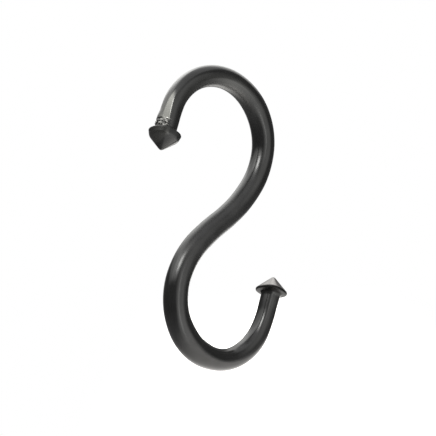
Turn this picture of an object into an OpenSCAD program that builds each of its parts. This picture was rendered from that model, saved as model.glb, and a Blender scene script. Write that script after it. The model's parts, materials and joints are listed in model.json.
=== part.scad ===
// Forged S hook: round bar bent into two open loops that face opposite ways.
// Each end is drawn thinner, hammered square and upset into a head with a four-sided point.
// The hook hangs in the XZ plane, +Z up, with its origin where the upper loop bears on a rail.

/* [Bar] */
// Diameter of the round bar
bar_d = 8; // [6.5:0.1:10]
// Radius of both loops, to the middle of the bar
loop_r = 22.25; // [18:0.25:30]
// Length of the straight bar between the two loops
middle_l = 25.5; // [12:0.5:40]
// Turn of each loop, from the straight bar to its neck, in degrees
loop_turn = 217; // [200:1:230]

/* [Drawn ends] */
// Turn over which the bar is drawn thinner, in degrees
taper_turn = 131; // [90:1:150]
// Width of the neck across its flats
neck_w = 6; // [5:0.1:7]
// Squareness of the neck, from 2 for round to 8 for nearly sharp corners
neck_squareness = 3.2; // [2:0.1:8]

/* [Upper head] */
// Length of the straight neck behind the upper head
upper_neck_l = 5.2; // [4:0.1:8]
// Width of the upper head across its flats
upper_head_w = 9.3; // [8:0.1:12]
// Thickness of the upper head at its rim
upper_rim_t = 1.75; // [1:0.05:2.5]
// Height of the upper head's point above its rim
upper_point_h = 4.9; // [3:0.1:7]
// Tilt of the upper head away from the straight bar, in degrees
upper_tilt = 5; // [-5:0.5:15]
// Lean of the upper head out of the hook's plane, in degrees, positive to +Y
upper_lean = -8; // [-20:0.5:20]

/* [Lower head] */
// Length of the straight neck behind the lower head
lower_neck_l = 5.9; // [4:0.1:8]
// Width of the lower head across its flats
lower_head_w = 9.8; // [8:0.1:12]
// Thickness of the lower head at its rim
lower_rim_t = 1.15; // [1:0.05:2.5]
// Height of the lower head's point above its rim
lower_point_h = 5.2; // [3:0.1:7]
// Tilt of the lower head away from the straight bar, in degrees
lower_tilt = 9.5; // [-5:0.5:15]
// Lean of the lower head out of the hook's plane, in degrees, positive to +Y
lower_lean = 17; // [-20:0.5:20]

/* [Both heads] */
// Rounding of the rim's edge towards the neck, twice that of its edge towards the point
rim_round = 0.4; // [0.2:0.05:0.5]
// Rise of the underside, from the neck to the rim
under_h = 0.2; // [0.1:0.05:0.3]
// Squareness of the heads, from 2 for round to 8 for nearly sharp corners
head_squareness = 3.1; // [2:0.1:8]

/* [Hidden] */

// Length by which one stretch of bar is let into the next, and the step left round it
socket_l = 0.5;
socket_step = 0.02;
// Part of the taper that stays round, and part of the point that is blunted
round_share = 0.4;
blunt_share = 0.12;
// Heights of the rings on the point, as parts of its height
point_shares = [0, 0.45, 1 - blunt_share];

// Facets round the bar, and rings along the taper and the neck
sides = 32;
taper_steps = 24;
neck_steps = 4;
$fn = 96;

// Direction of the straight bar towards the lower loop, which sets both loops on the Z axis
middle_a = 180 + atan2(middle_l / 2, loop_r);
// Height of each loop's centre above or below the middle of the hook
centre_h = norm([middle_l / 2, loop_r]);
// Turn of the plain round bar before the taper, and turn at which a loop bears its load
plain_turn = loop_turn - taper_turn;
saddle_turn = 360 - middle_a;
// Height of the upper bearing point above the middle of the hook
saddle_h = centre_h + loop_r - taper_half((saddle_turn - plain_turn) / taper_turn);
across = [0, 1, 0];

function smooth(t) = let (u = min(max(t, 0), 1)) u * u * (3 - 2 * u);
function mix(a, b, t) = a + (b - a) * t;
function unit(v) = v / norm(v);

// Half width and squareness of the bar at a part of the taper
function taper_half(t) = mix(bar_d / 2, neck_w / 2, smooth(t));
function taper_square(t) = mix(2, neck_squareness, smooth((t - round_share) / (1 - round_share)));

// Direction and middle of the bar at a turn along the lower loop
function bar_dir(turn) = [cos(middle_a + turn), 0, sin(middle_a + turn)];
function bar_mid(turn) = [0, 0, -centre_h] + loop_r * cross(across, bar_dir(turn));

// Direction of a head that is tilted in the hook's plane and leans out of it
function head_dir(tilt, lean) = bar_dir(loop_turn - tilt) * cos(lean) + across * sin(lean);

// One ring of a rounded square, on a middle point and square to a direction
function ring(mid, dir, half, square) =
    let (
        out = unit(cross(across, dir)),
        side = cross(dir, out)
    )
    [for (i = [0 : sides - 1])
        let (
            c = cos(360 * i / sides),
            s = sin(360 * i / sides),
            reach = half / pow(pow(abs(c), square) + pow(abs(s), square), 1 / square)
        )
        mid + reach * (out * c + side * s)];

// Rings of the bar as it is drawn thinner and squared along the loop
function taper_rings() = [for (i = [0 : taper_steps])
    let (
        t = i / taper_steps,
        turn = mix(plain_turn, loop_turn, t)
    )
    ring(bar_mid(turn), bar_dir(turn), taper_half(t) - mix(socket_step, 0, t), taper_square(t))];

// Middle of the straight neck at a part of its length
function neck_mid(neck_l, t) = bar_mid(loop_turn) + bar_dir(loop_turn) * neck_l * t;

// Rings of the straight neck, which turn from the bar's direction to the head's
function neck_rings(neck_l, dir) = [for (i = [1 : neck_steps])
    let (t = i / neck_steps)
    ring(
        neck_mid(neck_l, t),
        unit(mix(bar_dir(loop_turn), dir, smooth(t))),
        neck_w / 2,
        neck_squareness
    )];

// Height and half width of the rings of a head: underside, rounded rim, then the point
function head_profile(head_w, rim_t, point_h) = concat(
    [
        [under_h, head_w / 2 - rim_round],
        [under_h + rim_round, head_w / 2],
        [rim_t - rim_round / 2, head_w / 2]
    ],
    [for (share = point_shares)
        [rim_t + point_h * share, (head_w / 2 - rim_round / 2) * (1 - share)]]
);

// Solid skinned over rings of equal count, closed by a flat start and a tip
module skin(rings, tip) {
    last = len(rings) - 1;
    points = concat([for (r = rings) each r], [tip]);
    walls = [for (i = [0 : last - 1], k = [0 : sides - 1])
        let (
            a = i * sides + k,
            b = i * sides + (k + 1) % sides
        )
        each [[a, a + sides, b + sides], [a, b + sides, b]]];
    start = [for (k = [0 : sides - 1]) k];
    fan = [for (k = [0 : sides - 1]) [last * sides + k, len(points) - 1, last * sides + (k + 1) % sides]];
    polyhedron(points, concat([start], walls, fan), convexity = 4);
}

// Drawn end of the lower loop: taper, neck and pointed head
module drawn_end(neck_l, head_w, rim_t, point_h, tilt, lean) {
    dir = head_dir(tilt, lean);
    base = neck_mid(neck_l, 1);
    socket = bar_mid(plain_turn) - bar_dir(plain_turn) * socket_l;
    start = ring(socket, bar_dir(plain_turn), bar_d / 2 - socket_step, 2);
    head_rings = [for (p = head_profile(head_w, rim_t, point_h))
        ring(base + dir * p[0], dir, p[1], head_squareness)];
    skin(
        concat([start], taper_rings(), neck_rings(neck_l, dir), head_rings),
        base + dir * (rim_t + point_h * (1 - blunt_share / 2))
    );
}

// Straight bar between the loops, let into both of them
module middle_bar() {
    rotate([0, 90 - middle_a, 0])
        cylinder(d = bar_d - 2 * socket_step, h = middle_l + 2 * socket_l, center = true);
}

// Plain round stretch of the lower loop
module plain_bend() {
    translate([0, 0, -centre_h])
        rotate([90, 0, 0])
            rotate(middle_a - 90)
                rotate_extrude(angle = plain_turn)
                    translate([loop_r, 0])
                        circle(d = bar_d);
}

// Both loops are one shape, turned half round about Y
module s_hook() {
    color("#2e2d2b")
        translate([0, 0, -saddle_h]) {
            middle_bar();
            plain_bend();
            drawn_end(lower_neck_l, lower_head_w, lower_rim_t, lower_point_h, lower_tilt, lower_lean);
            rotate([0, 180, 0]) {
                plain_bend();
                drawn_end(upper_neck_l, upper_head_w, upper_rim_t, upper_point_h, upper_tilt, upper_lean);
            }
        }
}

s_hook();
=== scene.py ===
import json
import math

import bmesh
import bpy
from mathutils import Matrix, Vector


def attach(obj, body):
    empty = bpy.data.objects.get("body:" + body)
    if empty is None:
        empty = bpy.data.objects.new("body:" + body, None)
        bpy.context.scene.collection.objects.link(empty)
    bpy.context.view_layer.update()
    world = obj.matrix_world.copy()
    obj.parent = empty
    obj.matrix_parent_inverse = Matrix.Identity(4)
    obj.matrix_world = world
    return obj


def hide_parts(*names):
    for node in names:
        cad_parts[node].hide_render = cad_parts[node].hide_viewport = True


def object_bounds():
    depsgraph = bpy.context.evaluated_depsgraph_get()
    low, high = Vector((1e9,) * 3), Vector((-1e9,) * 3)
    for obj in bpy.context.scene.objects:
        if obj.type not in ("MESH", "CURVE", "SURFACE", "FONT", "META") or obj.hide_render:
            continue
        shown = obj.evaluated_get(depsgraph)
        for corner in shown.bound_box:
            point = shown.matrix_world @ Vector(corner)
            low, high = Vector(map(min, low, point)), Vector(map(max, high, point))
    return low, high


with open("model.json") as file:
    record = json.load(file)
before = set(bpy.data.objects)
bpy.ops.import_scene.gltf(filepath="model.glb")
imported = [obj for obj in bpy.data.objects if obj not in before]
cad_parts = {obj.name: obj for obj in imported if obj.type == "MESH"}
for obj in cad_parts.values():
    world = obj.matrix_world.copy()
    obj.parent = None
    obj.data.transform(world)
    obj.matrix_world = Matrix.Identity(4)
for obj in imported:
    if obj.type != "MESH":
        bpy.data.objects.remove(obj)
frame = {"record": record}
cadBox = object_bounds()
scene = bpy.context.scene
scene.view_settings.view_transform = "Standard"
mm = 0.001
fullTurn = 2 * math.pi
white = (1, 1, 1, 1)
smoothStep = {"interpolation_type": "SMOOTHSTEP"}  # settings of a Map Range that eases in and out

# the hook's middle is half way between the two places where its loops bear
mountPlaces = {mount["name"]: Vector(mount["pos_m"]) for mount in frame["record"]["mounts"]}
hookMiddle = (mountPlaces["upper_saddle"] + mountPlaces["lower_saddle"]) / 2
print("frame loaded, middle of the hook at", tuple(round(c, 5) for c in hookMiddle))


# adds a node, sets its properties, then fills or links its inputs
def addNode(tree, kind, settings=None, inputs=None):
    node = tree.nodes.new(kind)
    for name, value in (settings or {}).items():
        setattr(node, name, value)
    for key, value in (inputs or {}).items():
        if isinstance(value, bpy.types.Node):
            value = value.outputs[0]
        if isinstance(value, bpy.types.NodeSocket):
            tree.links.new(value, node.inputs[key])
        else:
            node.inputs[key].default_value = value
    return node


# grows from 0 to 1 as a value comes near a place, from an outer to an inner distance
def nearness(tree, value, place, outer, inner):
    away = addNode(tree, "ShaderNodeMath", {"operation": "SUBTRACT"}, {0: value, 1: place})
    away = addNode(tree, "ShaderNodeMath", {"operation": "ABSOLUTE"}, {0: away})
    return addNode(tree, "ShaderNodeMapRange", smoothStep, {
        "Value": away, "From Min": outer, "From Max": inner})


# sRGB hex to linear RGBA
def hexColour(text):
    parts = [int(text[i:i + 2], 16) / 255 for i in (1, 3, 5)]
    return [p / 12.92 if p <= 0.04045 else ((p + 0.055) / 1.055) ** 2.4 for p in parts] + [1.0]


# new node tree with named inputs, each given as its socket type
def newGeometryTree(name, inputs, output="NodeSocketGeometry"):
    tree = bpy.data.node_groups.new(name, "GeometryNodeTree")
    for label, socketType in inputs.items():
        tree.interface.new_socket(name=label, in_out="INPUT", socket_type=socketType)
    tree.interface.new_socket(name="Result", in_out="OUTPUT", socket_type=output)
    return tree, tree.nodes.new("NodeGroupInput").outputs, tree.nodes.new("NodeGroupOutput").inputs


camera = {
    "azimuth": -43.48,  # degrees from the front, to the hook's left
    "elevation": 4.48,
    "roll": -3.15,
    "distance": 254.6,  # mm from the middle of the hook
    "focalPixels": 752.5,
    "pictureSize": 436,
    "middleAt": (221.72, 219.06),  # where the hook's middle falls in the picture
    "sensorWidth": 36,  # mm
    "clipStart": 5,
}

azimuth, elevation, roll = (math.radians(camera[key]) for key in ("azimuth", "elevation", "roll"))
viewBack = Vector((
    math.sin(azimuth) * math.cos(elevation),
    -math.cos(azimuth) * math.cos(elevation),
    math.sin(elevation),
))
levelRight = (-viewBack).cross(Vector((0, 0, 1))).normalized()
levelUp = levelRight.cross(-viewBack)
viewRight = levelRight * math.cos(roll) + levelUp * math.sin(roll)
viewUp = levelUp * math.cos(roll) - levelRight * math.sin(roll)
cameraData = bpy.data.cameras.new("photoCamera")
cameraData.sensor_width = camera["sensorWidth"]
cameraData.lens = camera["sensorWidth"] * camera["focalPixels"] / camera["pictureSize"]
cameraData.shift_x = 0.5 - camera["middleAt"][0] / camera["pictureSize"]
cameraData.shift_y = camera["middleAt"][1] / camera["pictureSize"] - 0.5
cameraData.clip_start = camera["clipStart"] * mm
cameraObject = bpy.data.objects.new("photoCamera", cameraData)
cameraAxes = Matrix((viewRight, viewUp, viewBack)).transposed().to_4x4()
cameraPlace = hookMiddle + viewBack * camera["distance"] * mm
cameraObject.matrix_world = Matrix.Translation(cameraPlace) @ cameraAxes
scene.collection.objects.link(cameraObject)
scene.camera = cameraObject
print("camera set")


# places are mm along the straightened bar from the base of the upper head,
# or mm aside from its middle towards the inside of the upper loop
finish = {
    "metallic": 0.75,  # the rest is the wax over it
    "patchSize": (6, 3, 3),  # mm of a scale patch along and across the bar
    "streakSize": (15, 0.6, 0.6),  # mm of a drawn streak
    "streakDepth": 0.02,  # mm
    "streakStrength": 0.05,
    "roughness": (0.16, 0.22),  # between the patches and on them
    "patchRange": (0.3, 0.7),  # of the patch noise, over which the roughness grows
    "dulling": {"middle": 0.16, "saddle": 0.16, "paintedShade": 0.3},  # roughness added
    "colours": {
        "black": "#2a2a2a",
        "patch": "#3d3d3d",
        "saddlePale": "#4d4d4c",
        # painted highlight on the upper neck's hammered flat
        "paintedFlatHighlight": "#62625f",
        "paleLump": "#82817e",
        # painted shade under the lower head and on the upper head's rim
        "paintedShade": "#0a0a0a",
        # painted highlight: the lower head's point is paler, as where its top faces catch the light from
        # above
        "point": "#787574",
    },
    # place along the bar, and how far from it an effect starts and is full
    "near": {"saddlePaleNear": (28, 24, 8), "dullSaddle": (36, 26, 14), "middle": (105, 28, 8)},
    # 0 for along or 1 for aside, where an effect starts and is full, and its full strength
    "ramps": {
        "saddlePaleSide": (1, -1.5, 1.5, 1.0),
        "upperHalf": (0, 120, 90, 1.0),
        "upperNeck": (0, 14, 7, 1.0),
        "outerSide": (1, -1.6, -2.6, 0.4),
        "saddleInside": (1, 1.0, 3.2, 1.0),
        # where the painted shade under the lower head starts
        "underLowerHead": (0, 204.2, 205.0, 1.0),
        # where the painted highlight on the lower head's point starts
        "lowerPoint": (0, 206.0, 206.7, 1.0),
        # where the painted shade on the upper head's rim lies
        "upperHead": (0, 0.1, -0.2, 1.0),
        "upperRim": (0, -2.6, -1.2, 0.6),
        "upperOuter": (1, 2.0, -1.5, 1.0),
    },
}


# hot-waxed black oxide on forged steel: nearly black, satin, with drawn streaks and dull scale patches
def blackenedSteel():
    material = bpy.data.materials.new("forgedSteelBlackWaxed")
    material.use_nodes = True
    tree = material.node_tree
    shader = tree.nodes["Principled BSDF"]
    shader.inputs["Metallic"].default_value = finish["metallic"]
    straight = addNode(tree, "ShaderNodeAttribute", {"attribute_name": "straightBar"}).outputs["Vector"]
    onBar = addNode(tree, "ShaderNodeSeparateXYZ", {}, {0: straight})
    noises = {}
    for name, detail in (("patch", 3.0), ("streak", 2.0)):
        place = addNode(tree, "ShaderNodeVectorMath", {"operation": "MULTIPLY"}, {
            0: straight, 1: [1 / size for size in finish[name + "Size"]]})
        noises[name] = addNode(tree, "ShaderNodeTexNoise", {}, {
            "Vector": place, "Scale": 1.0, "Detail": detail})
    near = {name: nearness(tree, onBar.outputs[0], *places) for name, places in finish["near"].items()}
    ramps = {}
    for name, (axis, start, full, strength) in finish["ramps"].items():
        ramps[name] = addNode(tree, "ShaderNodeMapRange", smoothStep, {
            "Value": onBar.outputs[axis], "From Min": start, "From Max": full, "To Max": strength})

    # paler near the upper loop's saddle, on the inner half of the bar
    saddlePale = addNode(tree, "ShaderNodeMath", {"operation": "MULTIPLY"}, {
        0: near["saddlePaleNear"], 1: ramps["saddlePaleSide"]})
    # painted highlight: paler on the upper neck's hammered flat, and less so on the outer side beside it,
    # where they catch the light
    paintedFlatHighlight = addNode(tree, "ShaderNodeAttribute", {"attribute_name": "paintedFlatHighlight"}).outputs["Fac"]
    paintedFlatHighlight = addNode(tree, "ShaderNodeMath", {"operation": "MULTIPLY"}, {0: paintedFlatHighlight, 1: ramps["upperHalf"]})
    outerSide = addNode(tree, "ShaderNodeMath", {"operation": "MULTIPLY"}, {
        0: ramps["outerSide"], 1: ramps["upperNeck"]})
    paintedFlatHighlight = addNode(tree, "ShaderNodeMath", {"operation": "MAXIMUM"}, {0: paintedFlatHighlight, 1: outerSide})
    # the raised lumps of the torn mark are paler
    paleLump = addNode(tree, "ShaderNodeAttribute", {"attribute_name": "paleLumps"}).outputs["Fac"]
    # painted shade: darker and duller under the lower head and on the outer rim of the upper one
    paintedShade = addNode(tree, "ShaderNodeMath", {"operation": "SUBTRACT"}, {
        0: ramps["underLowerHead"], 1: ramps["lowerPoint"]})
    upperPaintedShade = addNode(tree, "ShaderNodeMath", {"operation": "MULTIPLY"}, {
        0: ramps["upperHead"], 1: ramps["upperRim"]})
    upperPaintedShade = addNode(tree, "ShaderNodeMath", {"operation": "MULTIPLY"}, {
        0: upperPaintedShade, 1: ramps["upperOuter"]})
    paintedShade = addNode(tree, "ShaderNodeMath", {"operation": "MAXIMUM"}, {0: paintedShade, 1: upperPaintedShade})

    colours = {name: hexColour(text) for name, text in finish["colours"].items()}
    colour = addNode(tree, "ShaderNodeMix", {"data_type": "RGBA"}, {
        0: noises["patch"], 6: colours["black"], 7: colours["patch"]})
    # the point's paler colour is a painted highlight on the lower head's top faces
    shares = {"saddlePale": saddlePale, "paintedFlatHighlight": paintedFlatHighlight, "paleLump": paleLump, "paintedShade": paintedShade, "point": ramps["lowerPoint"]}
    for name, share in shares.items():
        colour = addNode(tree, "ShaderNodeMix", {"data_type": "RGBA"}, {
            0: share, 6: colour.outputs[2], 7: colours[name]})
    tree.links.new(colour.outputs[2], shader.inputs["Base Color"])

    # the straight middle was never rubbed smooth, and the rail keeps the inside of the saddle dull
    roughness = addNode(tree, "ShaderNodeMapRange", {}, {
        "Value": noises["patch"], "From Min": finish["patchRange"][0], "From Max": finish["patchRange"][1],
        "To Min": finish["roughness"][0], "To Max": finish["roughness"][1]})
    saddle = addNode(tree, "ShaderNodeMath", {"operation": "MULTIPLY"}, {
        0: near["dullSaddle"], 1: ramps["saddleInside"]})
    # the painted shade under the heads is made duller as well
    for name, share in {"middle": near["middle"], "saddle": saddle, "paintedShade": paintedShade}.items():
        roughness = addNode(tree, "ShaderNodeMath", {"operation": "MULTIPLY_ADD"}, {
            0: share, 1: finish["dulling"][name], 2: roughness})
    tree.links.new(roughness.outputs[0], shader.inputs["Roughness"])
    bump = addNode(tree, "ShaderNodeBump", {}, {
        "Strength": finish["streakStrength"], "Distance": finish["streakDepth"] * mm,
        "Height": noises["streak"]})
    tree.links.new(bump.outputs[0], shader.inputs["Normal"])
    print("finish made")
    return material


hook = {
    "barDiameter": 8.0,  # mm, as are all lengths here
    "loopRadius": 22.25,
    "middleLength": 25.5,
    "loopTurn": 217,  # degrees
    "taperTurn": 131,
    "squaredPart": 0.6,  # part of the taper in which the bar also turns square
    "underRound": 0.35,  # edge of the rim towards the neck
    "underRise": 0.2,
    "blunting": 0.12,  # part of the point that is blunted
    # sizes of each end; the rim is rounded and leans in towards the point,
    # and the hammered flat on the neck has its places from the head and its reaches from the bar's middle
    "upper": {
        "Neck": 5.2, "Neck Width": 6.3, "Flare": 0.3,
        "Head": 10.15, "Rim": 2.3, "Rim Round": 2.2, "Rim Lean": 0.65, "Point": 4.35,
        "Flat Foot": 3.3, "Flat Foot Reach": 2.96, "Flat End": 13.0, "Flat End Reach": 3.42,
    },
    "lower": {
        "Neck": 5.7, "Neck Width": 6.55, "Flare": 0.4,
        "Head": 10.5, "Rim": 0.95, "Rim Round": 0.4, "Rim Lean": 0.0, "Point": 5.7,
        "Flat Foot": 3.6, "Flat Foot Reach": 3.36, "Flat End": 12.0, "Flat End Reach": 3.49,
    },
    "neckSquareness": {"upper": 2.5, "lower": 2.5},
    "headSquareness": {"upper": 2.4, "lower": 2.7},
    "headTurns": {"upper": (5, -8), "lower": (8.5, 12)},  # degrees of tilt in the hook's plane and lean out
    "headShifts": {"upper": (0, 0, 0), "lower": (0, -0.25, 0)},  # how far each was upset off the bar's line
    "flareRun": 4.0,  # length of a flare as a multiple of its depth
    "flatAngle": 208,  # degrees round the bar
    "flatStepReach": 6.0,  # to which a flat steps out again at the head
    "flatEdge": 0.05,  # rounding of its edges
    "flatHighlightCut": 0.08,  # depth of cut at which the painted highlight on it is full
    # how far the bar strays from its true line where it was bent by hand, by mm from its middle
    "handBends": (
        (-104, -0.08), (-97, -0.14), (-88, 0.24), (-66, -0.02), (-42, 0.3), (-20, -0.54), (-5, 0.62),
        (9, -0.04), (19, 0.2), (33, -0.15), (54, 0.32), (78, -0.5), (95, 0.48), (104, 0.5),
    ),
    # how much thicker it was left where it was drawn by hand
    "handDrawing": (
        (-104, 0.0), (-87, 0.15), (-75, 0.08), (-60, -0.1), (-45, 0.18), (-29, 0.0), (-14, -0.03), (0, -0.14),
        (13, 0.0), (28, 0.05), (40, 0.15), (52, 0.56), (66, 0.1), (80, 0.4), (96, -0.18), (104, 0.0),
    ),
    "handRange": 1.0,  # no less than the largest of these
    "unevenness": 0.05,  # height of the swells left by the hammer
    "swellSize": (12, 4, 4),  # along and across the bar
    # the torn mark between the upper flat and its head, in lumps of about 1 mm
    "tornMark": 2.2,
    "tornNear": (2.1, 2.0, 1.0),  # place from the head, and how far from it the mark starts and is full
    "tornSide": (-0.5, -2.0),  # aside, where it starts and is full
    "paleRise": 0.12,  # part of the mark's height at which a lump is fully pale
    # the blow that tore it pushed the neck out behind it
    "bulge": 0.36,
    "bulgeNear": (3.8, 3.4, 0.4),
    "bulgeWay": (0, -0.8, 0.6),  # direction across the bar
    "bulgeSide": (2.1, 3.1),  # out in that direction, where it starts and is full
    "seed": 4.0,
    "railStep": 0.1,
    "bendSteps": 300,  # in each bend of the rail
    "edgeSteps": 8,  # in each rounded edge of a head
    "rings": 560,
    "crowding": 0.7,  # how much closer the rings lie at the ends of the bar
    "headRings": 60,
    "sides": 112,
    "weld": 0.01,  # gap that is closed between the bar and its heads
}

loopRadius = hook["loopRadius"] * mm
middleAngle = math.pi + math.atan2(hook["middleLength"] / 2, hook["loopRadius"])
loopTurn = math.radians(hook["loopTurn"])
noFlat = 1.0  # reach, in metres, that cuts nothing off
endSizes = (*hook["upper"], "Neck Squareness", "Head Squareness")
endVectors = ("Direction", "Shift")


# direction of the bar after a turn along the lower loop; the upper loop is the same turned half round
def barDirection(turn):
    return Vector((math.cos(middleAngle + turn), 0, math.sin(middleAngle + turn)))


# corners round which one half of the rail is bent, from the middle of the hook outwards
def railHalf(neckLength):
    bends = 3
    reach = loopRadius * math.tan(loopTurn / bends / 2)
    place = barDirection(0) * (hook["middleLength"] / 2 * mm + reach)
    corners = [place]
    for k in range(1, bends + 1):
        step = 2 * reach if k < bends else reach + neckLength * mm
        place = place + barDirection(loopTurn * k / bends) * step
        corners.append(place)
    return corners


# direction of a head, tilted in the hook's plane and leaning out of it
def headDirection(end):
    tilt, lean = (math.radians(turn) for turn in hook["headTurns"][end])
    return barDirection(loopTurn - tilt) * math.cos(lean) + Vector((0, math.sin(lean), 0))


# how far a rounded square of half width 1 reaches at an angle
def roundedSquareTree():
    inputs = {"Angle": "NodeSocketFloat", "Squareness": "NodeSocketFloat"}
    tree, given, result = newGeometryTree("roundedSquare", inputs, "NodeSocketFloat")
    powers = []
    for wave in ("COSINE", "SINE"):
        part = addNode(tree, "ShaderNodeMath", {"operation": wave}, {0: given["Angle"]})
        part = addNode(tree, "ShaderNodeMath", {"operation": "ABSOLUTE"}, {0: part})
        powers.append(addNode(tree, "ShaderNodeMath", {"operation": "POWER"}, {
            0: part, 1: given["Squareness"]}))
    total = addNode(tree, "ShaderNodeMath", {"operation": "ADD"}, {0: powers[0], 1: powers[1]})
    root = addNode(tree, "ShaderNodeMath", {"operation": "DIVIDE"}, {0: -1.0, 1: given["Squareness"]})
    reach = addNode(tree, "ShaderNodeMath", {"operation": "POWER"}, {0: total, 1: root})
    tree.links.new(reach.outputs[0], result[0])
    return tree


# one ring point: half width, angle and squareness about a middle and a direction,
# with its place on the straightened bar kept for the material
def ringTree(roundedSquare):
    inputs = {"Grid": "NodeSocketGeometry", "Middle": "NodeSocketVector", "Direction": "NodeSocketVector"}
    inputs.update({label: "NodeSocketFloat" for label in (
        "Half Width", "Angle", "Squareness", "Along", "Flat Reach", "Flat Angle")})
    tree, given, result = newGeometryTree("ringPoints", inputs)
    reach = addNode(tree, "GeometryNodeGroup", {"node_tree": roundedSquare}, {
        "Angle": given["Angle"], "Squareness": given["Squareness"]})
    reach = addNode(tree, "ShaderNodeMath", {"operation": "MULTIPLY"}, {0: reach, 1: given["Half Width"]})
    # a hammered flat cuts the ring off at its own reach, on its own side
    leastCosine = 0.2
    fromFlat = addNode(tree, "ShaderNodeMath", {"operation": "SUBTRACT"}, {
        0: given["Angle"], 1: given["Flat Angle"]})
    fromFlat = addNode(tree, "ShaderNodeMath", {"operation": "COSINE"}, {0: fromFlat})
    fromFlat = addNode(tree, "ShaderNodeMath", {"operation": "MAXIMUM"}, {0: fromFlat, 1: leastCosine})
    flatReach = addNode(tree, "ShaderNodeMath", {"operation": "DIVIDE"}, {
        0: given["Flat Reach"], 1: fromFlat})
    cut = addNode(tree, "ShaderNodeMath", {"operation": "SUBTRACT"}, {0: reach, 1: flatReach})
    # how deep the flat cuts in, kept for the painted highlight on it
    paintedFlatHighlight = addNode(tree, "ShaderNodeMapRange", smoothStep, {
        "Value": cut, "From Max": hook["flatHighlightCut"] * mm})
    reach = addNode(tree, "ShaderNodeMath", {"operation": "SMOOTH_MIN"}, {
        0: reach, 1: flatReach, 2: hook["flatEdge"] * mm})
    cosine = addNode(tree, "ShaderNodeMath", {"operation": "COSINE"}, {0: given["Angle"]})
    sine = addNode(tree, "ShaderNodeMath", {"operation": "SINE"}, {0: given["Angle"]})
    outReach = addNode(tree, "ShaderNodeMath", {"operation": "MULTIPLY"}, {0: reach, 1: cosine})
    sideReach = addNode(tree, "ShaderNodeMath", {"operation": "MULTIPLY"}, {0: reach, 1: sine})
    out = addNode(tree, "ShaderNodeVectorMath", {"operation": "CROSS_PRODUCT"}, {
        0: (0, 1, 0), 1: given["Direction"]})
    out = addNode(tree, "ShaderNodeVectorMath", {"operation": "NORMALIZE"}, {0: out})
    side = addNode(tree, "ShaderNodeVectorMath", {"operation": "CROSS_PRODUCT"}, {
        0: given["Direction"], 1: out})
    outPart = addNode(tree, "ShaderNodeVectorMath", {"operation": "SCALE"}, {0: out, "Scale": outReach})
    sidePart = addNode(tree, "ShaderNodeVectorMath", {"operation": "SCALE"}, {0: side, "Scale": sideReach})
    place = addNode(tree, "ShaderNodeVectorMath", {"operation": "ADD"}, {0: outPart, 1: sidePart})
    place = addNode(tree, "ShaderNodeVectorMath", {"operation": "ADD"}, {0: place, 1: given["Middle"]})
    straight = addNode(tree, "ShaderNodeCombineXYZ", {}, {0: given["Along"], 1: outReach, 2: sideReach})
    straight = addNode(tree, "ShaderNodeVectorMath", {"operation": "SCALE"}, {0: straight, "Scale": 1 / mm})
    kept = given["Grid"]
    for name, dataType, value in (("straightBar", "FLOAT_VECTOR", straight), ("paintedFlatHighlight", "FLOAT", paintedFlatHighlight)):
        kept = addNode(tree, "GeometryNodeStoreNamedAttribute", {"data_type": dataType, "domain": "POINT"}, {
            "Geometry": kept, "Name": name, "Value": value})
    placed = addNode(tree, "GeometryNodeSetPosition", {}, {"Geometry": kept, "Position": place})
    tree.links.new(placed.outputs[0], result[0])
    return tree


# grid that is placed as rings, with each point's share along it and angle round it
def ringGrid(tree, rings, sides):
    aroundCount = addNode(tree, "ShaderNodeMath", {"operation": "ADD"}, {0: sides, 1: 1})
    grid = addNode(tree, "GeometryNodeMeshGrid", {}, {
        "Size X": 1.0, "Size Y": 1.0, "Vertices X": rings, "Vertices Y": aroundCount})
    onGrid = addNode(tree, "ShaderNodeSeparateXYZ", {}, {0: addNode(tree, "GeometryNodeInputPosition")})
    share = addNode(tree, "ShaderNodeMath", {"operation": "ADD"}, {0: onGrid.outputs[0], 1: 0.5})
    angle = addNode(tree, "ShaderNodeMath", {"operation": "MULTIPLY"}, {0: onGrid.outputs[1], 1: fullTurn})
    return grid, share, angle


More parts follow.
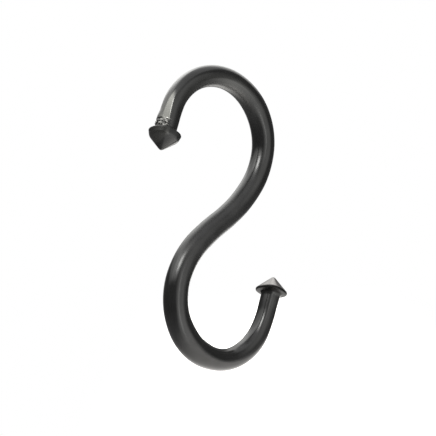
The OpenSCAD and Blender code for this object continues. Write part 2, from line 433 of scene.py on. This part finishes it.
# pointed head: underside, rounded rim and four-sided point, as rings up a filleted profile
def pointedHeadTree(ringPoints):
    inputs = {"Base": "NodeSocketVector", "Direction": "NodeSocketVector"}
    inputs.update({label: "NodeSocketFloat" for label in (
        "Sign", "Along", "Neck Width", "Head Width", "Rim", "Point", "Rim Round", "Under Round", "Under Rise",
        "Rim Lean", "Blunting", "Neck Squareness", "Head Squareness")})
    inputs.update({"Rings": "NodeSocketInt", "Sides": "NodeSocketInt"})
    tree, given, result = newGeometryTree("pointedHead", inputs)
    # corners of the profile, as half width and height
    neckHalf = addNode(tree, "ShaderNodeMath", {"operation": "MULTIPLY"}, {0: given["Neck Width"], 1: 0.5})
    headHalf = addNode(tree, "ShaderNodeMath", {"operation": "MULTIPLY"}, {0: given["Head Width"], 1: 0.5})
    rimHalf = addNode(tree, "ShaderNodeMath", {"operation": "SUBTRACT"}, {0: headHalf, 1: given["Rim Lean"]})
    bluntHalf = addNode(tree, "ShaderNodeMath", {"operation": "MULTIPLY"}, {
        0: headHalf, 1: given["Blunting"]})
    bluntLow = addNode(tree, "ShaderNodeMath", {"operation": "MULTIPLY"}, {
        0: given["Point"], 1: given["Blunting"]})
    top = addNode(tree, "ShaderNodeMath", {"operation": "ADD"}, {0: given["Rim"], 1: given["Point"]})
    shoulder = addNode(tree, "ShaderNodeMath", {"operation": "SUBTRACT"}, {0: top, 1: bluntLow})
    tip = addNode(tree, "ShaderNodeMath", {"operation": "MULTIPLY_ADD"}, {0: bluntLow, 1: -0.5, 2: top})
    corners = ((neckHalf, 0.0), (headHalf, given["Under Rise"]), (rimHalf, given["Rim"]),
               (bluntHalf, shoulder), (0.0, tip))
    pick = addNode(tree, "GeometryNodeIndexSwitch", {"data_type": "VECTOR"}, {
        0: addNode(tree, "GeometryNodeInputIndex")})
    while len(pick.index_switch_items) < len(corners):
        pick.index_switch_items.new()
    for k, (half, height) in enumerate(corners):
        corner = addNode(tree, "ShaderNodeCombineXYZ", {}, {0: half, 1: height})
        tree.links.new(corner.outputs[0], pick.inputs[k + 1])
    points = addNode(tree, "GeometryNodePoints", {}, {"Count": len(corners), "Position": pick})
    profile = addNode(tree, "GeometryNodePointsToCurves", {}, {"Points": points})
    underEdge = addNode(tree, "FunctionNodeCompare", {"data_type": "INT", "operation": "LESS_THAN"}, {
        2: addNode(tree, "GeometryNodeInputIndex"), 3: 2})
    rounding = addNode(tree, "GeometryNodeSwitch", {"input_type": "FLOAT"}, {
        "Switch": underEdge, "False": given["Rim Round"], "True": given["Under Round"]})
    profile = addNode(tree, "GeometryNodeFilletCurve", {"mode": "POLY"}, {
        "Curve": profile, "Count": hook["edgeSteps"], "Radius": rounding, "Limit Radius": True})

    grid, share, angle = ringGrid(tree, given["Rings"], given["Sides"])
    sample = addNode(tree, "GeometryNodeSampleCurve", {"mode": "FACTOR"}, {
        "Curves": profile, "Factor": share})
    onProfile = addNode(tree, "ShaderNodeSeparateXYZ", {}, {0: sample.outputs["Position"]})
    height = addNode(tree, "ShaderNodeMath", {"operation": "MULTIPLY"}, {
        0: onProfile.outputs[1], 1: given["Sign"]})
    rise = addNode(tree, "ShaderNodeVectorMath", {"operation": "SCALE"}, {
        0: given["Direction"], "Scale": height})
    middle = addNode(tree, "ShaderNodeVectorMath", {"operation": "ADD"}, {0: given["Base"], 1: rise})
    square = addNode(tree, "ShaderNodeMapRange", smoothStep, {
        "Value": onProfile.outputs[0], "From Min": neckHalf, "From Max": headHalf,
        "To Min": given["Neck Squareness"], "To Max": given["Head Squareness"]})
    pointed = addNode(tree, "FunctionNodeCompare", {"operation": "GREATER_THAN"}, {
        0: onProfile.outputs[1], 1: given["Under Rise"]})
    square = addNode(tree, "GeometryNodeSwitch", {"input_type": "FLOAT"}, {
        "Switch": pointed, "False": square, "True": given["Head Squareness"]})
    along = addNode(tree, "ShaderNodeMath", {"operation": "ADD"}, {0: given["Along"], 1: height})
    placed = addNode(tree, "GeometryNodeGroup", {"node_tree": ringPoints}, {
        "Grid": grid, "Middle": middle, "Direction": given["Direction"], "Half Width": onProfile.outputs[0],
        "Angle": angle, "Squareness": square, "Along": along, "Flat Reach": noFlat})
    tree.links.new(placed.outputs[0], result[0])
    return tree


# smooth run of an amount along the bar, through pairs of mm from the bar's middle and mm of the amount
def handCurve(tree, share, spots):
    halfLength = hook["middleLength"] / 2 + hook["loopRadius"] * loopTurn
    upperLength = halfLength + hook["upper"]["Neck"]
    wholeLength = upperLength + halfLength + hook["lower"]["Neck"]
    run = addNode(tree, "ShaderNodeFloatCurve", {}, {"Value": share})
    points = run.mapping.curves[0].points
    for k, (place, amount) in enumerate(spots):
        spot = (min(max((place + upperLength) / wholeLength, 0), 1), 0.5 + amount / hook["handRange"] / 2)
        if k < 2:
            points[k].location = spot
        else:
            points.new(*spot)
    run.mapping.update()
    return addNode(tree, "ShaderNodeMath", {"operation": "MULTIPLY_ADD"}, {
        0: run, 1: 2 * hook["handRange"] * mm, 2: -hook["handRange"] * mm})


# the whole skin: bar drawn along the rail, with a head welded to each end
def hookSkinTree():
    ringPoints = ringTree(roundedSquareTree())
    pointedHead = pointedHeadTree(ringPoints)
    inputs = {"Rail": "NodeSocketGeometry"}
    inputs.update({label: "NodeSocketFloat" for label in (
        "Bar Diameter", "Loop Radius", "Taper Length", "Under Round", "Under Rise", "Blunting",
        "Unevenness", "Seed", "Torn Mark", "Bulge", "Flat Angle", "Crowding")})
    for end in ("Upper", "Lower"):
        inputs.update({f"{end} {label}": "NodeSocketFloat" for label in endSizes})
        inputs.update({f"{end} {label}": "NodeSocketVector" for label in endVectors})
    inputs.update({label: "NodeSocketInt" for label in ("Rings", "Head Rings", "Sides")})
    inputs["Material"] = "NodeSocketMaterial"
    tree, given, result = newGeometryTree("hookSkin", inputs)

    # the rail is bent round its corners and strays as the hand left it
    rail = addNode(tree, "GeometryNodeFilletCurve", {"mode": "POLY"}, {
        "Curve": given["Rail"], "Count": hook["bendSteps"],
        "Radius": given["Loop Radius"], "Limit Radius": True})
    rail = addNode(tree, "GeometryNodeResampleCurve", {"mode": "LENGTH"}, {
        "Curve": rail, "Length": hook["railStep"] * mm})
    aside = handCurve(tree, addNode(tree, "GeometryNodeSplineParameter"), hook["handBends"])
    across = addNode(tree, "ShaderNodeVectorMath", {"operation": "CROSS_PRODUCT"}, {
        0: addNode(tree, "GeometryNodeInputTangent"), 1: (0, 1, 0)})
    across = addNode(tree, "ShaderNodeVectorMath", {"operation": "SCALE"}, {0: across, "Scale": aside})
    rail = addNode(tree, "GeometryNodeSetPosition", {}, {"Geometry": rail, "Offset": across})
    railLength = addNode(tree, "GeometryNodeCurveLength", {}, {0: rail})

    # rings along it lie closer towards both ends
    grid, share, angle = ringGrid(tree, given["Rings"], given["Sides"])
    wave = addNode(tree, "ShaderNodeMath", {"operation": "MULTIPLY"}, {0: share, 1: fullTurn})
    wave = addNode(tree, "ShaderNodeMath", {"operation": "SINE"}, {0: wave})
    wave = addNode(tree, "ShaderNodeMath", {"operation": "MULTIPLY"}, {0: wave, 1: given["Crowding"]})
    share = addNode(tree, "ShaderNodeMath", {"operation": "MULTIPLY_ADD"}, {
        0: wave, 1: -1 / fullTurn, 2: share})
    along = addNode(tree, "ShaderNodeMath", {"operation": "MULTIPLY"}, {0: share, 1: railLength})
    fromLower = addNode(tree, "ShaderNodeMath", {"operation": "SUBTRACT"}, {0: railLength, 1: along})
    onRail = addNode(tree, "GeometryNodeSampleCurve", {"mode": "LENGTH"}, {"Curves": rail, "Length": along})

    direction, middle = onRail.outputs["Tangent"], onRail.outputs["Position"]
    width, square, flare, flatReach = given["Bar Diameter"], 2.0, 0.0, noFlat
    heads = []
    for end, fromEnd, factor, sign in (("Upper", along, 0.0, -1.0), ("Lower", fromLower, 1.0, 1.0)):
        own = {label: given[f"{end} {label}"] for label in (*endSizes, *endVectors)}
        # each end tapers, turns square, flares into its head and swings round to the head's direction
        taperStart = addNode(tree, "ShaderNodeMath", {"operation": "ADD"}, {
            0: own["Neck"], 1: given["Taper Length"]})
        taper = addNode(tree, "ShaderNodeMapRange", smoothStep, {
            "Value": fromEnd, "From Min": taperStart, "From Max": own["Neck"]})
        width = addNode(tree, "ShaderNodeMix", {}, {0: taper, 2: width, 3: own["Neck Width"]})
        squareStart = addNode(tree, "ShaderNodeMath", {"operation": "MULTIPLY_ADD"}, {
            0: given["Taper Length"], 1: hook["squaredPart"], 2: own["Neck"]})
        squared = addNode(tree, "ShaderNodeMapRange", smoothStep, {
            "Value": fromEnd, "From Min": squareStart, "From Max": own["Neck"]})
        square = addNode(tree, "ShaderNodeMix", {}, {0: squared, 2: square, 3: own["Neck Squareness"]})
        flareStart = addNode(tree, "ShaderNodeMath", {"operation": "MULTIPLY"}, {
            0: own["Flare"], 1: hook["flareRun"]})
        flared = addNode(tree, "ShaderNodeMapRange", {}, {
            "Value": fromEnd, "From Min": flareStart, "From Max": 0.0})
        flared = addNode(tree, "ShaderNodeMath", {"operation": "POWER"}, {0: flared, 1: 2.0})
        flare = addNode(tree, "ShaderNodeMath", {"operation": "MULTIPLY_ADD"}, {
            0: flared, 1: own["Flare"], 2: flare})
        swing = addNode(tree, "ShaderNodeMapRange", smoothStep, {
            "Value": fromEnd, "From Min": own["Neck"], "From Max": 0.0})
        mixed = addNode(tree, "ShaderNodeMix", {"data_type": "VECTOR"}, {
            0: swing, 4: direction, 5: own["Direction"]})
        direction = mixed.outputs[1]
        shift = addNode(tree, "ShaderNodeVectorMath", {"operation": "SCALE"}, {
            0: own["Shift"], "Scale": swing})
        middle = addNode(tree, "ShaderNodeVectorMath", {"operation": "ADD"}, {0: middle, 1: shift})
        # its flat slopes out from the foot along the bar, and steps out from it towards the head
        flatSlope = addNode(tree, "ShaderNodeMapRange", {"clamp": False}, {
            "Value": fromEnd, "From Min": own["Flat Foot"], "From Max": own["Flat End"],
            "To Min": own["Flat Foot Reach"], "To Max": own["Flat End Reach"]})
        flatStep = addNode(tree, "ShaderNodeMapRange", {"clamp": False}, {
            "Value": fromEnd, "From Min": own["Flat Foot"], "From Max": 0.0,
            "To Min": own["Flat Foot Reach"], "To Max": hook["flatStepReach"] * mm})
        endReach = addNode(tree, "ShaderNodeMath", {"operation": "MAXIMUM"}, {0: flatSlope, 1: flatStep})
        flatReach = addNode(tree, "ShaderNodeMath", {"operation": "MINIMUM"}, {0: endReach, 1: flatReach})
        # its head starts from the flared neck
        base = addNode(tree, "GeometryNodeSampleCurve", {"mode": "FACTOR"}, {
            "Curves": rail, "Factor": factor})
        base = addNode(tree, "ShaderNodeVectorMath", {"operation": "ADD"}, {
            0: base.outputs["Position"], 1: own["Shift"]})
        start = addNode(tree, "ShaderNodeMath", {"operation": "MULTIPLY"}, {0: railLength, 1: factor})
        neckWidth = addNode(tree, "ShaderNodeMath", {"operation": "MULTIPLY_ADD"}, {
            0: own["Flare"], 1: 2.0, 2: own["Neck Width"]})
        sizes = {label: own[label] for label in (
            "Direction", "Rim", "Point", "Rim Round", "Rim Lean", "Neck Squareness", "Head Squareness")}
        sizes.update({label: given[label] for label in ("Under Round", "Under Rise", "Blunting", "Sides")})
        heads.append(addNode(tree, "GeometryNodeGroup", {"node_tree": pointedHead}, {
            "Base": base, "Sign": sign, "Along": start, "Neck Width": neckWidth, "Head Width": own["Head"],
            "Rings": given["Head Rings"], **sizes}))
    direction = addNode(tree, "ShaderNodeVectorMath", {"operation": "NORMALIZE"}, {0: direction})
    drawn = handCurve(tree, share, hook["handDrawing"])
    width = addNode(tree, "ShaderNodeMath", {"operation": "ADD"}, {0: width, 1: drawn})
    half = addNode(tree, "ShaderNodeMath", {"operation": "MULTIPLY_ADD"}, {0: width, 1: 0.5, 2: flare})
    bar = addNode(tree, "GeometryNodeGroup", {"node_tree": ringPoints}, {
        "Grid": grid, "Middle": middle, "Direction": direction, "Half Width": half, "Angle": angle,
        "Squareness": square, "Along": along, "Flat Reach": flatReach, "Flat Angle": given["Flat Angle"]})
    bar = addNode(tree, "GeometryNodeFlipFaces", {}, {"Mesh": bar})  # its rings run the other way round
    joined = addNode(tree, "GeometryNodeJoinGeometry")
    for piece in (bar, *heads):
        tree.links.new(piece.outputs[0], joined.inputs[0])
    welded = addNode(tree, "GeometryNodeMergeByDistance", {}, {
        "Geometry": joined, "Distance": hook["weld"] * mm})

    # swells that the hammer leaves along the bar
    straight = addNode(tree, "GeometryNodeInputNamedAttribute", {"data_type": "FLOAT_VECTOR"}, {
        "Name": "straightBar"})
    onBar = addNode(tree, "ShaderNodeSeparateXYZ", {}, {0: straight})
    swellPlace = addNode(tree, "ShaderNodeVectorMath", {"operation": "MULTIPLY"}, {
        0: straight, 1: [1 / size for size in hook["swellSize"]]})
    swell = addNode(tree, "ShaderNodeTexNoise", {"noise_dimensions": "4D"}, {
        "Vector": swellPlace, "W": given["Seed"], "Scale": 1.0, "Detail": 1.0})
    swell = addNode(tree, "ShaderNodeMath", {"operation": "SUBTRACT"}, {0: swell, 1: 0.5})
    swell = addNode(tree, "ShaderNodeMath", {"operation": "MULTIPLY"}, {0: swell, 1: given["Unevenness"]})
    # torn mark on the outer side of the upper neck
    markNear = nearness(tree, onBar.outputs[0], *hook["tornNear"])
    markSide = addNode(tree, "ShaderNodeMapRange", smoothStep, {
        "Value": onBar.outputs[1], "From Min": hook["tornSide"][0], "From Max": hook["tornSide"][1]})
    mark = addNode(tree, "ShaderNodeTexNoise", {"noise_dimensions": "4D"}, {
        "Vector": straight, "W": given["Seed"], "Scale": 1.0, "Detail": 2.0})
    mark = addNode(tree, "ShaderNodeMath", {"operation": "SUBTRACT"}, {0: mark, 1: 0.5})
    mark = addNode(tree, "ShaderNodeMath", {"operation": "MULTIPLY"}, {0: mark, 1: markNear})
    mark = addNode(tree, "ShaderNodeMath", {"operation": "MULTIPLY"}, {0: mark, 1: markSide})
    paleLump = addNode(tree, "ShaderNodeMapRange", smoothStep, {
        "Value": mark, "From Min": 0.0, "From Max": hook["paleRise"]})
    swell = addNode(tree, "ShaderNodeMath", {"operation": "MULTIPLY_ADD"}, {
        0: mark, 1: given["Torn Mark"], 2: swell})
    # bulge behind it
    bulgeNear = nearness(tree, onBar.outputs[0], *hook["bulgeNear"])
    bulgeSide = addNode(tree, "ShaderNodeVectorMath", {"operation": "DOT_PRODUCT"}, {
        0: straight, 1: hook["bulgeWay"]})
    bulgeSide = addNode(tree, "ShaderNodeMapRange", smoothStep, {
        "Value": bulgeSide.outputs["Value"],
        "From Min": hook["bulgeSide"][0], "From Max": hook["bulgeSide"][1]})
    bulge = addNode(tree, "ShaderNodeMath", {"operation": "MULTIPLY"}, {0: bulgeNear, 1: bulgeSide})
    swell = addNode(tree, "ShaderNodeMath", {"operation": "MULTIPLY_ADD"}, {
        0: bulge, 1: given["Bulge"], 2: swell})
    swell = addNode(tree, "ShaderNodeVectorMath", {"operation": "SCALE"}, {
        0: addNode(tree, "GeometryNodeInputNormal"), "Scale": swell})
    kept = addNode(tree, "GeometryNodeStoreNamedAttribute", {"data_type": "FLOAT", "domain": "POINT"}, {
        "Geometry": welded, "Name": "paleLumps", "Value": paleLump})
    swollen = addNode(tree, "GeometryNodeSetPosition", {}, {"Geometry": kept, "Offset": swell})

    smooth = addNode(tree, "GeometryNodeSetShadeSmooth", {}, {"Geometry": swollen})
    real = addNode(tree, "GeometryNodeRealizeInstances", {}, {"Geometry": smooth})
    finished = addNode(tree, "GeometryNodeSetMaterial", {}, {"Geometry": real, "Material": given["Material"]})
    tree.links.new(finished.outputs[0], result[0])
    return tree


# rail of the whole hook, from the upper head's base to the lower head's
upperHalf = [-corner for corner in reversed(railHalf(hook["upper"]["Neck"]))]
railCorners = [hookMiddle + corner for corner in upperHalf + railHalf(hook["lower"]["Neck"])]
railData = bpy.data.curves.new("hookRail", "CURVE")
railData.dimensions = "3D"
railSpline = railData.splines.new("POLY")
railSpline.points.add(len(railCorners) - 1)
for point, corner in zip(railSpline.points, railCorners):
    point.co = (*corner, 1)
rail = bpy.data.objects.new("hookRail", railData)
scene.collection.objects.link(rail)

skinTree = hookSkinTree()
skinInputs = {
    "Bar Diameter": hook["barDiameter"] * mm,
    "Loop Radius": loopRadius,
    "Taper Length": loopRadius * math.radians(hook["taperTurn"]),
    "Under Round": hook["underRound"] * mm,
    "Under Rise": hook["underRise"] * mm,
    "Blunting": hook["blunting"],
    "Unevenness": hook["unevenness"] * mm,
    "Seed": hook["seed"],
    "Torn Mark": hook["tornMark"] * mm,
    "Bulge": hook["bulge"] * mm,
    "Flat Angle": math.radians(hook["flatAngle"]),
    "Crowding": hook["crowding"],
    "Rings": hook["rings"],
    "Head Rings": hook["headRings"],
    "Sides": hook["sides"],
    "Material": blackenedSteel(),
}
for end in ("upper", "lower"):
    skinInputs.update({f"{end.title()} {size}": length * mm for size, length in hook[end].items()})
    skinInputs[f"{end.title()} Neck Squareness"] = hook["neckSquareness"][end]
    skinInputs[f"{end.title()} Head Squareness"] = hook["headSquareness"][end]
    skinInputs[f"{end.title()} Direction"] = headDirection(end)
    skinInputs[f"{end.title()} Shift"] = [reach * mm for reach in hook["headShifts"][end]]
# the upper end is turned half round, and the rail runs from it, so only its lean changes sign
skinInputs["Upper Direction"].y *= -1
skinModifier = rail.modifiers.new("hookSkin", "NODES")
skinModifier.node_group = skinTree
for item in skinTree.interface.items_tree:
    if item.in_out == "INPUT" and item.name in skinInputs:
        skinModifier[item.identifier] = skinInputs[item.name]
evaluated = rail.evaluated_get(bpy.context.evaluated_depsgraph_get())
skinMesh = bpy.data.meshes.new_from_object(evaluated)
rail.modifiers.remove(skinModifier)
bpy.data.objects.remove(rail)
skinBuild = bmesh.new()
skinBuild.from_mesh(skinMesh)
bmesh.ops.recalc_face_normals(skinBuild, faces=skinBuild.faces)
openEdges = sum(1 for edge in skinBuild.edges if len(edge.link_faces) != 2)
skinBuild.to_mesh(skinMesh)
skinBuild.free()
hookSkin = bpy.data.objects.new("hookSkin", skinMesh)
scene.collection.objects.link(hookSkin)
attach(hookSkin, "root")
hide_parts("s_hook")
skinMesh.calc_loop_triangles()
print("hook skin:", len(skinMesh.loop_triangles), "triangles,", openEdges, "open edges")


studio = {
    "floorDrop": 28,  # mm from the lowest point of the hanging hook
    "floorAcross": (-60, 120),  # mm of sheet to the left and right of the hook
    "floorDeep": (-90, 300),  # mm of sheet before and behind it
    "floorFade": 70,  # mm over which the sheet fades out at its edges
    "floorColour": "#f6f2ee",
    "floorRoughness": 0.9,
    "floorShine": 0.1,
    "floorLift": (0.9, 1.4),  # light added where the steel sees the floor, before and behind the hook
    "floorTurn": (-30, 30),  # mm before and behind the hook between which that light grows
    "lampColour": "#fffffc",
    "fadingEdge": 0.3,  # part of a soft box over which its light fades at each edge
    "backTurn": 20,  # degrees to the left of straight behind, where the backdrop is brightest
    "dimRoom": 0.16,
    # brightness of the other parts of the room, and where it starts and is full:
    # by closeness to the brightest place behind, or by height, both from -1 to 1
    "roomParts": {"behind": (0.45, 0.92, 0.995), "below": (0.5, -0.2, -0.7), "overhead": (1.3, 0.6, 0.8)},
    # azimuth to the right of the camera and elevation in degrees, distance and size in mm, radiance
    "softBoxes": {
        "keyLight": (-20, 45, 600, 240, 235, 14.5),
        "wideLight": (-35, 44, 650, 900, 620, 2.5),
        "highLeftLight": (-118, 47, 1400, 3700, 1480, 1.8),
        "highBackLight": (-166, 34, 1400, 1700, 1480, 1.15),
        "backRightLight": (150, 36, 700, 660, 470, 1.5),
        "rightLight": (44, 8, 600, 1160, 1090, 1.3),
        "stripLight": (30, -8, 600, 90, 980, 2.6),
        "lowRightLight": (52, -36, 500, 1120, 540, 1.25),
    },
}

levelBack = Vector((viewBack.x, viewBack.y, 0)).normalized()
floorMesh = bpy.data.meshes.new("studioFloor")
floorHeight = cadBox[0][2] - studio["floorDrop"] * mm
(left, right), (near, far) = studio["floorAcross"], studio["floorDeep"]
floorMesh.from_pydata(
    [levelRight * x * mm - levelBack * y * mm + Vector((0, 0, floorHeight))
     for x, y in ((left, near), (right, near), (right, far), (left, far))], [], [(0, 1, 2, 3)])
# matte white paper: pale and even, with no shine to speak of
floorMaterial = bpy.data.materials.new("matteWhiteSheet")
floorMaterial.use_nodes = True
floorTree = floorMaterial.node_tree
floorShader = floorTree.nodes["Principled BSDF"]
floorShader.inputs["Base Color"].default_value = hexColour(studio["floorColour"])
floorShader.inputs["Roughness"].default_value = studio["floorRoughness"]
floorShader.inputs["Specular IOR Level"].default_value = studio["floorShine"]
# it is white to the camera, and the steel sees it lit
lightPath = addNode(floorTree, "ShaderNodeLightPath")
onSheet = addNode(floorTree, "ShaderNodeTexCoord").outputs["Object"]
depth = addNode(floorTree, "ShaderNodeVectorMath", {"operation": "DOT_PRODUCT"}, {0: onSheet, 1: -levelBack})
lift = addNode(floorTree, "ShaderNodeMapRange", smoothStep, {
    "Value": depth.outputs["Value"],
    "From Min": studio["floorTurn"][0] * mm, "From Max": studio["floorTurn"][1] * mm,
    "To Min": studio["floorLift"][0], "To Max": studio["floorLift"][1]})
lift = addNode(floorTree, "ShaderNodeMath", {"operation": "MULTIPLY"}, {
    0: lift, 1: lightPath.outputs["Is Glossy Ray"]})
lift = addNode(floorTree, "ShaderNodeMath", {"operation": "MAXIMUM"}, {
    0: lift, 1: lightPath.outputs["Is Camera Ray"]})
liftLight = addNode(floorTree, "ShaderNodeEmission", {}, {"Color": white, "Strength": lift})
lifted = addNode(floorTree, "ShaderNodeAddShader", {}, {0: floorShader, 1: liftLight})
solid = 1.0
for way, (low, high) in ((levelRight, studio["floorAcross"]), (-levelBack, studio["floorDeep"])):
    place = addNode(floorTree, "ShaderNodeVectorMath", {"operation": "DOT_PRODUCT"}, {0: onSheet, 1: way})
    for edge, inner in ((low, low + studio["floorFade"]), (high, high - studio["floorFade"])):
        share = addNode(floorTree, "ShaderNodeMapRange", smoothStep, {
            "Value": place.outputs["Value"], "From Min": edge * mm, "From Max": inner * mm})
        solid = addNode(floorTree, "ShaderNodeMath", {"operation": "MULTIPLY"}, {0: share, 1: solid})
faded = addNode(floorTree, "ShaderNodeMixShader", {}, {
    0: solid, 1: addNode(floorTree, "ShaderNodeBsdfTransparent"), 2: lifted})
floorTree.links.new(faded.outputs[0], floorTree.nodes["Material Output"].inputs["Surface"])
floorMesh.materials.append(floorMaterial)
floor = bpy.data.objects.new("studioFloor", floorMesh)
scene.collection.objects.link(floor)

# white for the camera; to the steel, white overhead, paler behind and below, and a dim room elsewhere
world = bpy.data.worlds.new("studioWorld")
scene.world = world
world.use_nodes = True
worldTree = world.node_tree
backdrop = worldTree.nodes["Background"]
backdrop.inputs["Color"].default_value = white
direction = addNode(worldTree, "ShaderNodeTexCoord").outputs["Generated"]
backLeft = Matrix.Rotation(math.radians(studio["backTurn"]), 3, "Z") @ -levelBack
behind = addNode(worldTree, "ShaderNodeVectorMath", {"operation": "DOT_PRODUCT"}, {0: direction, 1: backLeft})
height = addNode(worldTree, "ShaderNodeSeparateXYZ", {}, {0: direction}).outputs["Z"]
strength = addNode(worldTree, "ShaderNodeLightPath").outputs["Is Camera Ray"]
for part, value in (("behind", behind.outputs["Value"]), ("below", height), ("overhead", height)):
    brightness, start, full = studio["roomParts"][part]
    seen = addNode(worldTree, "ShaderNodeMapRange", smoothStep, {
        "Value": value, "From Min": start, "From Max": full,
        "To Min": studio["dimRoom"], "To Max": brightness})
    strength = addNode(worldTree, "ShaderNodeMath", {"operation": "MAXIMUM"}, {0: strength, 1: seen})
worldTree.links.new(strength.outputs[0], backdrop.inputs["Strength"])

# soft boxes face the middle of the hook; radiance times area times pi is a box's power
for name, (turn, rise, away, sizeX, sizeY, radiance) in studio["softBoxes"].items():
    turn, rise = math.radians(turn), math.radians(rise)
    level = levelBack * math.cos(turn) + levelRight * math.sin(turn)
    toBox = level * math.cos(rise) + Vector((0, 0, math.sin(rise)))
    data = bpy.data.lights.new(name, "AREA")
    data.shape = "RECTANGLE"
    data.size, data.size_y = sizeX * mm, sizeY * mm
    data.color = hexColour(studio["lampColour"])[:3]
    data.energy = radiance * math.pi * data.size * data.size_y
    # the cloth of a box is brightest in its middle and fades towards its edges
    data.use_nodes = True
    boxTree = data.node_tree
    onBox = addNode(boxTree, "ShaderNodeNewGeometry").outputs["Parametric"]
    onBox = addNode(boxTree, "ShaderNodeSeparateXYZ", {}, {0: onBox})
    fades = [nearness(boxTree, onBox.outputs[axis], 0.5, 0.5, 0.5 - studio["fadingEdge"]) for axis in (0, 1)]
    cloth = addNode(boxTree, "ShaderNodeMath", {"operation": "MULTIPLY"}, {0: fades[0], 1: fades[1]})
    boxTree.links.new(cloth.outputs[0], boxTree.nodes["Emission"].inputs["Strength"])
    box = bpy.data.objects.new(name, data)
    box.location = hookMiddle + toBox * away * mm
    box.rotation_euler = toBox.to_track_quat("Z", "Y").to_euler()
    box.visible_camera = False
    scene.collection.objects.link(box)
print("studio set")
